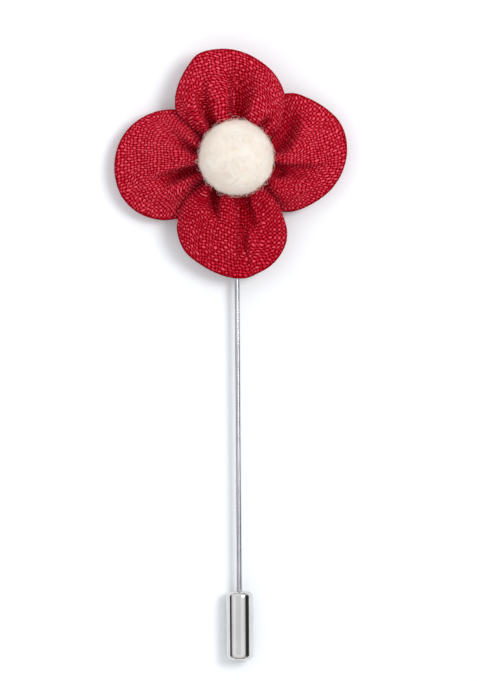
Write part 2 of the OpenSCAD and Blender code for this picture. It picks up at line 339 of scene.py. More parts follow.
@dataclass(frozen=True)
class Finish:
    """What a surface is made of and how it was made."""

    name: str

    def shade(self, tree: bpy.types.NodeTree) -> dict[str, Any]:
        """Adds the finish's own nodes to a tree, and returns what the shader's inputs take."""
        raise NotImplementedError

    def make(self) -> bpy.types.Material:
        """Makes the material.

        Returns:
            The material.
        """
        material = bpy.data.materials.new(self.name)
        material.use_nodes = True
        tree = material.node_tree
        tree.nodes.clear()
        shader = add(tree, "BsdfPrincipled", self.shade(tree))
        add(tree, "OutputMaterial", {"Surface": shader})
        return material


@dataclass(frozen=True)
class Weave:
    """A plain weave: round threads that go over and under each other in turn, in mm.

    The weft is the straighter and lies closer to the cloth's middle, so the warp's crowns stand out as
    dashes. Widths are shares of the pitch.
    """

    warp_pitch: float = 0.625
    weft_pitch: float = 0.69
    warp_crimp: float = 0.126
    weft_crimp: float = 0.062
    flatness: float = 0.4
    thread_half: float = 0.12
    warp_width: float = 0.78
    weft_width: float = 0.88
    gap: float = 0.16

    @property
    def top(self) -> float:
        """The height of a warp thread's crown above the level where threads cross."""
        return self.warp_crimp + self.thread_half

    def height(self, u: Array, v: Array) -> Array:
        """Finds how high the upper thread stands.

        Args:
            u: distances along the weft, in mm.
            v: distances along the warp, in mm.

        Returns:
            The height at each place, in mm.
        """
        a, b = u / self.warp_pitch, v / self.weft_pitch
        fa, fb = a - np.floor(a) - 0.5, b - np.floor(b) - 0.5
        turn = 1 - 2 * np.mod(np.floor(a) + np.floor(b), 2)
        warp = turn * self.warp_crimp * np.cos(math.pi * fb) ** self.flatness
        weft = -turn * self.weft_crimp * np.cos(math.pi * fa) ** self.flatness
        upper = np.maximum(warp + self.face(fa, self.warp_width), weft + self.face(fb, self.weft_width))
        return np.maximum(upper, -self.weft_crimp)

    def face(self, f: Array, width: float) -> Array:
        """Returns how far a thread's round face, or the gap beside it, is above its middle at f."""
        square = (2 * f / width) ** 2
        return self.thread_half * np.sqrt(np.maximum(0.0, 1 - square)) - self.gap * (square > 1)


@dataclass(frozen=True)
class DyedLinen(Finish):
    """Piece-dyed linen, plain woven from slubby yarn.

    The yarns cross in turn, so small crowns rise with pinholes between them. Their colour is painted with a
    highlight on the crowns and with shade in the pinholes. The yarn is uneven along its length, and dye takes
    a little differently on each, so no two threads match.
    """

    name: str = "dyed_linen"
    weave: Weave = Weave()
    pinhole_shade: str = "620006"
    shadow: str = "9C000E"
    thread: str = "C21B34"
    crown_highlight: str = "E75566"
    sheen: str = "F08090"
    uneven: float = 0.3
    patchy: float = 0.24
    # How far the painted shade on the folded edge and in the gathers darkens the cloth
    fold_shade: float = 0.45
    own_dye: float = 0.4
    slub_dye: float = 1.2
    slub_rate: float = 0.45
    next_slub: float = 3.7
    fibre_rate: float = 1.1
    fibre_rows: float = 9.0
    fibre_twist: float = 2.2
    fibre_tone: float = 0.35
    fibre_rise: float = 0.03

    def shade(self, tree: bpy.types.NodeTree) -> dict[str, Any]:
        """Draws the threads, their dye, their fibres and their painted shade and highlight over the cloth's
        own map.

        Args:
            tree: the material's node tree.

        Returns:
            What the shader's inputs take.
        """
        node, w = partial(add, tree), self.weave
        cloth = node("SeparateXYZ", (node("UVMap", uv_map="cloth"),)).node.outputs
        a = node("DIVIDE", (cloth[0], w.warp_pitch))
        b = node("DIVIDE", (cloth[1], w.weft_pitch))
        ia, ib = (node("FLOOR", (x,)) for x in (a, b))
        fa, fb = (
            node("SUBTRACT", (node("SUBTRACT", (x, floor)), 0.5))
            for x, floor in ((a, ia), (b, ib))
        )
        odd = node("FLOORED_MODULO", (node("ADD", (ia, ib)), 2.0))
        turn = node("MULTIPLY_ADD", (odd, -2.0, 1.0))

        def thread_top(across: Any, along: Any, crimp: float, width: float) -> Any:
            """Adds the rounded top of one set of threads.

            Args:
                across: how far a place is from a thread's middle.
                along: how far it is from the crossing's middle along the thread.
                crimp: how far the thread swings up and down, in mm.
                width: its width.

            Returns:
                The height, in mm.
            """
            wave = node("COSINE", (node("MULTIPLY", (along, math.pi)),))
            wave = node("MAXIMUM", (wave, 0.0))
            wave = node("POWER", (wave, w.flatness))
            swing = node("MULTIPLY", (wave, turn))
            swing = node("MULTIPLY", (swing, crimp))
            off = node("MULTIPLY", (across, 2 / width))
            square = node("MULTIPLY", (off, off))
            beside = node("GREATER_THAN", (square, 1.0))
            swing = node("MULTIPLY_ADD", (beside, -w.gap, swing))
            face = node("MAXIMUM", (node("SUBTRACT", (1.0, square)), 0.0))
            return node("MULTIPLY_ADD", (face, w.thread_half, swing))

        warp = thread_top(fa, fb, w.warp_crimp, w.warp_width)
        weft = thread_top(fb, fa, -w.weft_crimp, w.weft_width)
        upper = node("MAXIMUM", (warp, weft))
        height = node("MAXIMUM", (upper, -w.weft_crimp))
        warp_up = node("GREATER_THAN", (warp, weft))
        weft_no = node("ADD", (ib, 517.0))
        pairs = ((weft_no, ia), (a, b), (fb, fa))
        thread_no, along, across = (node("Mix", {0: warp_up, 2: x, 3: y}) for x, y in pairs)

        # Dye differs from thread to thread, and slubs come and go every few millimetres along one
        own = node("TexWhiteNoise", {"W": thread_no}, "Value", noise_dimensions="1D")
        own = node("MULTIPLY", (own, self.own_dye))
        slub_at = node("CombineXYZ", (
            node("MULTIPLY", (along, self.slub_rate)),
            node("MULTIPLY", (thread_no, self.next_slub)),
        ))
        slub = node("TexNoise", {"Vector": slub_at, "Scale": 1.0, "Detail": 2.0}, noise_dimensions="2D")
        tone = node("ADD", (own, node("MULTIPLY", (slub, self.slub_dye))))
        tone = node("MULTIPLY_ADD", (tone, self.uneven, 1 - 0.8 * self.uneven))
        crossing = node("CombineXYZ", (ia, ib))
        chance = node("TexWhiteNoise", {"Vector": crossing}, "Value", noise_dimensions="2D")
        patch = node("MULTIPLY_ADD", (chance, self.patchy, 1 - 0.5 * self.patchy))
        tone = node("MULTIPLY", (tone, patch))

        # Fibres lie along the yarn with a slight twist
        twist = node("MULTIPLY", (along, self.fibre_twist))
        fibre_at = node("CombineXYZ", (
            node("MULTIPLY", (along, self.fibre_rate)),
            node("MULTIPLY_ADD", (across, self.fibre_rows, twist)),
            thread_no,
        ))
        fibre = node("TexNoise", {"Vector": fibre_at, "Scale": 1.0, "Detail": 3.0, "Roughness": 0.6})

        level = node("DIVIDE", (height, w.top))
        off_mean = node("SUBTRACT", (fibre, 0.5))
        level = node("MULTIPLY_ADD", (off_mean, self.fibre_tone, level))
        # Painted shade: the cloth is darkened on the pressed fold along the outline and in the gathers, where
        # shade falls, and each whole petal is painted a little lighter or darker by how it faces the light
        fold = node("Attribute", out="Fac", attribute_name="fold_shade")
        dark = node("MULTIPLY_ADD", (fold, -self.fold_shade, 1.0))
        for share in (tone, dark, node("Attribute", out="Fac", attribute_name="painted_shading")):
            level = node("MULTIPLY", (level, share))
        # Painted shade and highlight: where the threads lie low the colour falls to the shadow and pinhole
        # shades, and on their tops it rises to the crown highlight
        colours = (self.pinhole_shade, self.shadow, self.thread, self.crown_highlight)
        colour = node("ValToRGB", (level,), stops=list(zip((0.12, 0.38, 0.65, 0.94), map(linear, colours))))

        # Where no threads are modelled a bump stands in for them
        modelled = node("Attribute", out="Fac", attribute_name="threads_modelled")
        plain = node("SUBTRACT", (1.0, modelled))
        relief = node("MULTIPLY", (height, plain))
        relief = node("MULTIPLY_ADD", (fibre, self.fibre_rise, relief))
        return {
            "Base Color": colour,
            "Roughness": node("MULTIPLY_ADD", (level, -0.18, 0.86)),
            "Normal": node("Bump", {"Strength": 1.0, "Distance": MM, "Height": relief}),
            "Specular IOR Level": 0.02,
            "Sheen Weight": 0.01,
            "Sheen Roughness": 0.4,
            "Sheen Tint": linear(self.sheen),
        }


@dataclass(frozen=True)
class FeltedWool(Finish):
    """Undyed wool, wet felted into a ball.

    Fine fibres mat into a dense, dull face with faint clouds and a soft halo where they stand up. Light
    spreads glow_depth into it, in mm.
    """

    name: str = "felted_wool"
    wool: str = "FFF4EB"
    hollow: str = "FFF1E4"
    sheen: str = "FFEADC"
    clump: float = 1.6
    fibre: float = 0.16
    fibre_rise: float = 0.05
    glow: float = 0.9
    glow_depth: float = 3.2

    def shade(self, tree: bpy.types.NodeTree) -> dict[str, Any]:
        """Clouds the wool and mats its fibres.

        Args:
            tree: the material's node tree.

        Returns:
            What the shader's inputs take.
        """
        node = partial(add, tree)
        place = node("TexCoord", out="Object")
        clump, fibre = 1 / (self.clump * MM), 1 / (self.fibre * 2 * MM)
        clouds = node("TexNoise", {"Vector": place, "Scale": clump, "Detail": 3.0, "Roughness": 0.6})
        fibres = node(
            "TexNoise", {"Vector": place, "Scale": fibre, "Detail": 4.0, "Roughness": 0.75, "Distortion": 2.6}
        )
        both = node("MULTIPLY_ADD", (fibres, 0.65, clouds))
        stops = (0.55, linear(self.hollow)), (1.0, linear(self.wool))
        return {
            "Base Color": node("ValToRGB", (both,), stops=stops),
            "Roughness": 0.95,
            "Normal": node("Bump", {"Strength": 0.5, "Distance": self.fibre_rise * MM, "Height": fibres}),
            "Specular IOR Level": 0.2,
            "Sheen Weight": 1.0,
            "Sheen Roughness": 0.5,
            "Sheen Tint": linear(self.sheen),
            "Subsurface Weight": self.glow,
            "Subsurface Radius": (1.0, 0.85, 0.7),
            "Subsurface Scale": self.glow_depth * MM,
        }


@dataclass(frozen=True)
class BrightMetal(Finish):
    """A bright metal surface with faint marks that all run along the shaft, in mm.

    The marks blur a reflection slightly across them, and leave it sharp along them.
    """

    colour: str
    dull: str
    roughness: float
    mark_width: float
    mark_length: float
    mark_depth: float
    smudge: float = 6.0

    def shade(self, tree: bpy.types.NodeTree) -> dict[str, Any]:
        """Marks and smudges the metal.

        Args:
            tree: the material's node tree.

        Returns:
            What the shader's inputs take.
        """
        node = partial(add, tree)
        place = node("TexCoord", out="Object")
        across, along = 1 / (self.mark_width * MM), 1 / (self.mark_length * MM)
        drawn = node("Mapping", {"Vector": place, "Scale": (across, along, across)})
        marks = node("TexNoise", {"Vector": drawn, "Scale": 1.0, "Detail": 3.0, "Roughness": 0.55})
        smudges = node("TexNoise", {"Vector": place, "Scale": 1 / (self.smudge * MM), "Detail": 2.0})
        stops = (0.3, linear(self.dull)), (0.7, linear(self.colour))
        return {
            "Base Color": node("ValToRGB", (smudges,), stops=stops),
            "Metallic": 1.0,
            "Roughness": node("MapRange", (smudges, 0.3, 0.75, self.roughness, self.roughness * 1.6)),
            "Normal": node("Bump", {"Strength": 1.0, "Distance": self.mark_depth * MM, "Height": marks}),
        }


# Cold drawn wire, plated: straight draw marks run along it, so it glints in long thin lines
DRAWN_STEEL = BrightMetal("drawn_steel", "C6C6CA", "B0B0B5", 0.17, 0.12, 8.0, 0.0003)
# Turned, polished and nickel plated: almost a mirror, with a trace of warmth
NICKEL_PLATE = BrightMetal("nickel_plate", "DFDEDC", "D0CFCE", 0.05, 1.4, 1.0, 0.001)


@dataclass(frozen=True)
class SmoothPaper(Finish):
    """A matt white card: flat, pale and faintly cool."""

    name: str = "smooth_paper"
    colour: str = "F7FAFC"

    def shade(self, tree: bpy.types.NodeTree) -> dict[str, Any]:
        """Returns what the shader's inputs take."""
        return {"Base Color": linear(self.colour), "Roughness": 0.9, "Specular IOR Level": 0.15}


# Petals


@dataclass(frozen=True)
class Gather:
    """A valley in a petal's front, where the stitched cloth folds in on its way out from under the ball.

    All are shares: across the petal beside the ball and at its outer end, outward where it is deepest and
    where it ends, of the deepest gather's depth, and of a gather's width clockwise and anticlockwise of it.
    """

    beside_ball: float
    at_end: float
    deepest: float
    end: float
    depth: float
    clockwise: float
    anticlockwise: float


@dataclass(frozen=True)
class Seam:
    """The line where two neighbouring petals meet.

    angles holds pairs of a share of the way from the gathered ring to the notch and the angle there, in
    degrees on from the right-hand side. notch is the radius of the notch between the two outlines.
    """

    angles: Table
    notch: float


@dataclass(frozen=True)
class Flower:
    """Sizes that all four petals share, in mm. Heights are from the surface on which the pin lies."""

    centre: tuple[float, float]
    ball_r: float
    pad_r: float
    base_back: float
    gather_r: float = 4.0
    cloth: float = 0.5
    body: float = 2.3
    puff: float = 2.8
    crest_r: float = 7.6
    edge_half: float = 0.5
    edge_lift: float = 5.2
    edge_rest: float = 0.8
    belly: float = 1.3
    fold_depth: float = 4.2
    fold_width: float = 3.0
    fold_core: float = 0.66
    fold_floor: float = 0.14
    fold_wall: float = 0.4
    fold_start: float = 0.2
    back_fold: float = 0.5
    back_folds: int = 5
    petal_gap: float = 0.3
    lap: float = 0.8
    lap_rise: float = 1.0
    seat_gap: float = 0.3
    flank_near: float = 1.5
    flank_far: float = 3.6
    under_near: float = 1.6
    under_far: float = 3.0
    over_near: float = 2.0
    over_far: float = 5.0
    lap_climb: float = 3.0
    web: float = 1.0
    swell: float = 0.28
    back_swell: float = 0.62
    back_fall: float = 5.0
    pucker: float = 0.16
    pressed_width: float = 0.6
    pressed_flat: float = 0.85
    # How much painted shade the deepest gathers get, as a share of the shade on the folded edge
    gather_shading: float = 0.42
    follow_edge: float = 0.25
    drape: Table = ((7.0, 0.07), (3.0, 0.03))
    wander: Table = ((4.0, 0.09), (1.3, 0.05))

    @property
    def base_front(self) -> float:
        """The height of the front cloth at the gathered ring."""
        return self.base_back + self.body


@dataclass(frozen=True)
class Petal:
    """One petal: a round of linen folded in two and gathered along its raw edges into a puffed pocket.

    A place on it is s, from 0 at the gathered ring to 1 at the folded edge, and t, from 0 at its first
    flank to 1 at its last, anticlockwise. flank is 0 or 1, the number of one of those two.
    """

    node: str
    flower: Flower
    reach: float
    seams: tuple[Seam, Seam]
    turn: float
    outline: Table
    gathers: tuple[Gather, ...]
    sole: float
    lifts: Table
    side: Side
    outward: Thread
    grain: float
    # How much lighter or darker the whole petal's colour is painted, by how it faces the light
    painted_shading: float
    seed: int
    columns: int = 300
    rows: int = 280
    back_columns: int = 72
    back_rows: int = 96
    lining_columns: int = 33
    lining_rows: int = 18

    # Where a place lies, seen from above

    def seam_angle(self, s: Any, flank: int) -> Any:
        """Returns the angle of a flank's seam at s, in degrees."""
        return through(self.seams[flank].angles, s) + (0 if flank else self.turn)

    def flank_angle(self, s: Any, flank: int) -> Any:
        """Finds where a flank is: on its seam, but moved in or under the neighbour.

        Args:
            s: how far outward.
            flank: which flank.

        Returns:
            Its angle, in degrees.
        """
        f = self.flower
        end = -f.lap if self.side == Side.COVERED else 0.0
        inward = mix(f.petal_gap / 2, end, ease((s - 0.25) / 0.4))
        flank_r = mix(f.gather_r, self.seams[flank].notch, s)
        return self.seam_angle(s, flank) + (-1 if flank else 1) * np.degrees(inward / flank_r)

    def angle(self, s: Any, t: Any) -> Any:
        """Returns the angle of a place, in degrees."""
        return mix(self.flank_angle(s, 0), self.flank_angle(s, 1), t)

    def outline_r(self, t: Any) -> Any:
        """Finds how far out the folded edge is.

        Args:
            t: how far across.

        Returns:
            The edge's distance from the flower's middle.
        """
        one = np.ones_like(np.asarray(t, float))
        start, end = self.seam_angle(one, 0), self.seam_angle(one, 1)
        share = clamp((self.angle(one, t) - start) / (end - start))
        first, last = (seam.notch / self.reach for seam in self.seams)
        return self.reach * through(((0.0, first), *self.outline, (1.0, last)), share)

    def radius(self, s: Any, t: Any) -> Any:
        """Returns the distance of a place from the flower's middle."""
        return mix(self.flower.gather_r, self.outline_r(t), s)

    def arc(self, s: Any, t: Any) -> Any:
        """Returns the petal's width along the circle through a place."""
        return self.radius(s, t) * np.radians(self.flank_angle(s, 1) - self.flank_angle(s, 0))

    def past_pad(self, r: Any) -> Any:
        """Returns how far a radius is beyond the pad."""
        return r - self.flower.pad_r - self.flower.seat_gap

    # How high it lies

    def pillow(self, s: Any, t: Any, hidden: Side) -> Any:
        """Finds how far the cloth has risen from its edges; on a lapped flank it rises gently.

        Args:
            s: how far outward.
            t: how far across.
            hidden: the side on which this cloth is out of sight at its flanks.

        Returns:
            The rise, from 0 to 1.
        """
        f, under = self.flower, hidden == Side.COVERED
        rise = swell_up((1 - s) / (f.swell if under else f.back_swell))
        near, far = (f.under_near, f.under_far) if under else (f.over_near, f.over_far)
        for share in (t, 1 - t):
            d = self.arc(s, t) * share
            if self.side == hidden:
                rise = rise * ease(d / mix(near, far, s))
            else:
                rise = rise * swell_up(d / mix(f.flank_near, f.flank_far, s))
        return rise

    def gathered(self, s: Any, t: Any) -> Any:
        """Adds up the gathers at a place.

        Args:
            s: how far outward.
            t: how far across.

        Returns:
            Their depth.
        """
        f, depth = self.flower, 0.0
        for g in self.gathers:
            along = clamp((s - g.deepest) / (g.end - g.deepest))
            d = (t - mix(g.beside_ball, g.at_end, along)) * self.arc(s, t)
            width = f.fold_width * np.where(d < 0, g.clockwise, g.anticlockwise)
            aside = np.abs(d) / (width * (self.radius(s, t) / f.ball_r) ** 0.6)
            core = 1 - ease((aside - f.fold_floor) / f.fold_wall)
            flare = mix((1 - clamp(aside)) ** 2, core, f.fold_core)
            depth = depth + f.fold_depth * g.depth * ease(s / f.fold_start) * (1 - ease(along)) * flare
        return depth

    def puckers(self, s: Any, t: Any) -> Any:
        """Makes the small ripples that the stitching leaves beside the ball.

        Args:
            s: how far outward.
            t: how far across.

        Returns:
            Their height.
        """
        rng = np.random.default_rng(self.seed)
        ripple = 0.0
        for count in (5, 7, 9, 12, 15):
            phase = rng.uniform(0, 2 * math.pi)
            ripple = ripple + np.cos(2 * math.pi * count * t + phase + 2.5 * s) / math.sqrt(count)
        return self.flower.pucker * ripple * ease(s / 0.1) * (1 - ease((s - 0.15) / 0.55))

    def heights(self, s: Any, t: Any) -> tuple[Any, Any]:
        """Finds how high the cloth lies.

        Args:
            s: how far outward.
            t: how far across.

        Returns:
            The height of the front and of the back.
        """
        f = self.flower
        r, outer, arc = self.radius(s, t), self.outline_r(t), self.arc(s, t)
        lap = self.side.value * (1 - ease(t / 0.5)) + self.side.value * (1 - ease((1 - t) / 0.5))
        lap = lap * f.lap_rise / 2 * ease(self.past_pad(r) / f.lap_climb)
        edge_z = self.sole + f.edge_rest + through(self.lifts, t) * f.edge_lift
        base_mid = (f.base_back + f.base_front) / 2
        rim = mix(base_mid, edge_z, clamp(self.past_pad(r) / self.past_pad(outer)) ** 0.8) + lap
        edge = 1.0
        for d in ((1 - s) * (outer - f.gather_r), arc * t, arc * (1 - t)):
            edge = edge * np.sqrt(np.maximum(0.0, 1 - (1 - clamp(d / f.edge_half)) ** 2))
        crest = swell_up(clamp((r - f.gather_r) / (f.crest_r - f.gather_r)) ** 2.2)
        outward = ease((r - f.crest_r) / (outer - f.crest_r))
        dome = mix(f.base_front + f.puff, edge_z + lap + f.belly, outward)
        front_goal = mix(f.base_front, dome, crest) - self.gathered(s, t) + self.puckers(s, t)
        ripple = 0.5 - 0.5 * np.cos(2 * math.pi * f.back_folds * t)
        back_goal = mix(f.base_back, self.sole, ease(self.past_pad(r) / f.back_fall))
        back_goal = back_goal + f.back_fold * ripple * ease(s / 0.2) * (1 - ease(s / 0.75))
        back = rim - f.edge_half * edge + (back_goal - rim + f.edge_half) * self.pillow(s, t, Side.COVERS)
        front = rim + f.edge_half * edge
        front = front + (front_goal - rim - f.edge_half) * self.pillow(s, t, Side.COVERED)
        return np.maximum(front, back + f.web * edge), back

    def points(self, s: Any, t: Any, z: Any) -> Array:
        """Puts places at their points in the shared frame.

        Args:
            s: how far outward.
            t: how far across.
            z: how high.

        Returns:
            The points, in mm.
        """
        r, a = self.radius(s, t), np.radians(self.angle(s, t))
        x, y = self.flower.centre[0] + r * np.cos(a), self.flower.centre[1] + r * np.sin(a)
        return np.stack(np.broadcast_arrays(x, y, z), -1)

    # Its cloth

    def places(self, rows: int, columns: int, steps: int, start: float) -> tuple[Array, Array]:
        """Spreads rows and columns over the petal, closer together where its edge turns over.

        Args:
            rows: number of rows outward.
            columns: number of columns across.
            steps: how many of them turn over each edge.
            start: angle round the edge at which they start, in degrees.

        Returns:
            s and t for each row and column.
        """
        f = self.flower
        round_edge = f.edge_half * (1 - np.cos(np.radians(np.linspace(start, 80, steps))))
        nominal = self.reach * 0.9 - f.gather_r
        turn_at = 1 - round_edge[-1] / nominal
        inside = np.linspace(0, turn_at, rows - steps, endpoint=False)
        share = np.concatenate([inside, 1 - round_edge[::-1] / nominal])[:, None]
        left = round_edge[None, :] / self.arc(share, 0.5)
        middle = np.linspace(0, 1, columns - 2 * steps + 2)[None, 1:-1]
        t = np.concatenate([left, mix(left[:, -1:], 1 - left[:, -1:], middle), 1 - left[:, ::-1]], 1)
        free = self.outline_r(t) - f.gather_r
        turned = share > 1 - 1.001 * round_edge[-1] / nominal
        flat = share * (1 - round_edge[-1] / free) / turn_at
        return np.where(turned, 1 - (1 - share) * nominal / free, flat), t

    def cloth_places(self, points: Array) -> Array:
        """Finds where each point of a grid lies in the flat cloth, in mm.

        The weft runs round the ball, and bends a little towards the folded edge. The warp runs across it,
        and fans out from the ball.

        Args:
            points: the grid, rows outward and columns anticlockwise.

        Returns:
            The distance along the weft from the petal's middle, and along the warp from the folded edge.
        """
        f = self.flower
        across = np.linalg.norm(np.diff(points, axis=1), axis=2)
        along = np.concatenate([np.zeros((len(points), 1)), np.cumsum(across, 1)], 1)
        u = (along - along[:, [points.shape[1] // 2]]) * (along[-1, -1] / along[:, -1:])
        outward = np.linalg.norm(np.diff(points, axis=0), axis=2)
        far = np.concatenate([np.zeros((1, points.shape[1])), np.cumsum(outward, 0)], 0)
        v = far - far[-1:] * f.follow_edge
        flat = points[..., :2].reshape(-1, 2)
        u = u + waves(flat, f.wander, self.seed + 100).reshape(u.shape)
        v = v + waves(flat, f.wander, self.seed + 200).reshape(v.shape)
        turn = math.radians(self.grain)
        u, v = u * math.cos(turn) - v * math.sin(turn), u * math.sin(turn) + v * math.cos(turn)
        return np.stack([u, v] if self.outward == Thread.WARP else [v, u], -1)

    def front(self, weave: Weave) -> tuple[Array, Array, Array, Array]:
        """Makes the front cloth with its threads raised.

        Args:
            weave: the linen's weave.

        Returns:
            Its points, their places in the cloth, and s and t.
        """
        s, t = self.places(self.rows, self.columns, 9, 0)
        flat = self.points(s, t, self.heights(s, t)[0])
        drape = waves(flat[..., :2].reshape(-1, 2), self.flower.drape, self.seed).reshape(s.shape)
        flat[..., 2] += drape * (ease(4 * (1 - s)) * ease(6 * t) * ease(6 * (1 - t)))
        cloth = self.cloth_places(flat)
        out = unit(np.cross(np.gradient(flat, axis=0), np.gradient(flat, axis=1)))
        lift = weave.height(cloth[..., 0], cloth[..., 1]) - weave.top / 2
        lift = lift * (1 - self.flower.pressed_flat * self.pressed_fold(s, t))
        return flat + out * lift[..., None], cloth, s, t

    def pressed_fold(self, s: Array, t: Array) -> Array:
        """Returns 1 on the fold along the outline, falling to 0 a little way in from it."""
        return ease(1 - (1 - s) * (self.outline_r(t) - self.flower.gather_r) / self.flower.pressed_width)

    def fold_shading(self, s: Array, t: Array) -> Array:
        """Returns how much shade is painted on the cloth: most on the folded edge, less so in the gathers."""
        folded = clamp(self.gathered(s, t) / self.flower.fold_depth) * ease(s / 0.1)
        return np.maximum(self.pressed_fold(s, t), self.flower.gather_shading * folded)

    def lining(self, s: Array, t: Array) -> list[Array]:
        """Finds the inner face of the front and of the back.

        Args:
            s: how far outward in the hollow, from 0 to 1.
            t: how far across the hollow, from 0 to 1.

        Returns:
            The points of each, in mm.
        """
        f = self.flower
        si = s * (1 - f.cloth / (self.outline_r(t) - f.gather_r))
        inset = f.cloth / self.arc(si, np.full_like(t, 0.5))
        ti = mix(inset, 1 - inset, t)
        top, low = self.heights(si, ti)
        rim = (s >= 1) | (t <= 0) | (t >= 1)
        half = np.where(rim, 0.0, np.maximum((top - low) / 2 - f.cloth, 0.05))
        return [self.points(si, ti, (top + low) / 2 + way * half) for way in (1, -1)]

    def add_lining(self, stock: MeshStock, mouth: Rail) -> None:
        """Lines the hollow, and joins the lining to the two cloths round the pocket's open end.

        Args:
            stock: what is added to.
            mouth: the numbers of the points round the open end, and how far round each is.
        """
        outward = np.sin(np.linspace(0, math.pi / 2, self.lining_rows))
        across = (1 - np.cos(np.linspace(0, math.pi, self.lining_columns))) / 2
        s, t = np.meshgrid(outward, across, indexing="ij")
        own = (s < 1) & (t > 0) & (t < 1)
        above, below = self.lining(s, t)
        roof = stock.add_points(above)
        floor = roof.copy()
        floor[own] = stock.add_points(below[own])
        stock.add_grid(roof, flipped=True)
        stock.add_grid(floor)
        inner = np.concatenate([roof[0], floor[0, -2::-1]]), np.concatenate([t[0], 2 - t[0, -2::-1]])
        stock.add_ladder(mouth, inner, flipped=True)

    def build(self, weave: Weave) -> bpy.types.Object:
        """Makes the petal's mesh and its maps.

        Args:
            weave: the linen's weave.

        Returns:
            The petal.
        """
        stock = MeshStock()
        front, cloth, s, t = self.front(weave)
        top = stock.add_points(front)
        stock.add_grid(top)
        back_s, back_t = self.places(self.back_rows, self.back_columns, 6, 25)
        back = self.points(back_s, back_t, self.heights(back_s, back_t)[1])
        low = stock.add_points(back)
        stock.add_grid(low, flipped=True)
        stock.add_ladder(rim_of(top, s, t), rim_of(low, back_s, back_t))
        mouth = np.concatenate([top[0], low[0, ::-1], top[0, :1]])
        self.add_lining(stock, (mouth, np.concatenate([t[0], 2 - back_t[0, ::-1], [2.0]])))

        thing = stock.make(self.node + "_cloth")
        corners = corner_points(thing)
        inside = np.concatenate(stock.points[2:])[:, :2] - np.array(self.flower.centre)
        back_cloth = self.cloth_places(back) * np.array([1.0, -1.0])
        places = [cloth.reshape(-1, 2), back_cloth.reshape(-1, 2), inside]
        add_map(thing, "cloth", np.concatenate(places)[corners])
        plain = np.zeros(len(inside))
        # Painted shade along the folded edge and in the gathers, front and back
        fold_shade = [self.fold_shading(s, t).ravel(), self.pressed_fold(back_s, back_t).ravel(), plain]
        add_value(thing, "threads_modelled", np.concatenate([np.ones(top.size), np.zeros(low.size), plain]))
        add_value(thing, "fold_shade", np.concatenate(fold_shade))
        # Painted shade: the whole petal's colour is scaled by how it faces the light
        add_value(thing, "painted_shading", np.full(stock.count, self.painted_shading))
        seen = np.concatenate(stock.points)[:, :2]
        self.add_flat_map(thing, seen, corners, [top.size, top.size + low.size])
        return thing

    def add_flat_map(self, thing: bpy.types.Object, seen: Array, corners: Array, ends: list[int]) -> None:
        """Adds a map without overlaps: the front from above, with the back and the lining beside it.

        Args:
            thing: the petal.
            seen: its points as seen from above.
            corners: the number of the point at each face corner.
            ends: the numbers of the points with which the back and the lining begin.
        """
        low, high = seen.min(0), seen.max(0)
        flat = (seen - low) / (high - low).max()
        sizes = np.zeros(len(thing.data.polygons), np.int32)
        thing.data.polygons.foreach_get("loop_total", sizes)
        owner = np.repeat(np.arange(len(sizes)), sizes)
        highest = np.zeros(len(sizes), np.int32)
        np.maximum.at(highest, owner, corners)
        group = np.digitize(highest, ends)[owner]
        scale = np.array([0.62, 0.33, 0.12])[group][:, None]
        corner = np.array([[0.01, 0.01], [0.65, 0.01], [0.65, 0.4]])[group]
        add_map(thing, "OFBake", flat[corners] * scale + corner)

    def dress(self, thing: bpy.types.Object, linen: bpy.types.Material) -> None:
        """Puts the petal in linen and logs what it is.

        Args:
            thing: the petal.
            linen: the dyed linen.
        """
        wear(thing, linen)
        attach(thing, "flower_pin")
        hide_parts(self.node)
        LOG.info("%s: %d faces of woven linen", thing.name, len(thing.data.polygons))


# Felt ball


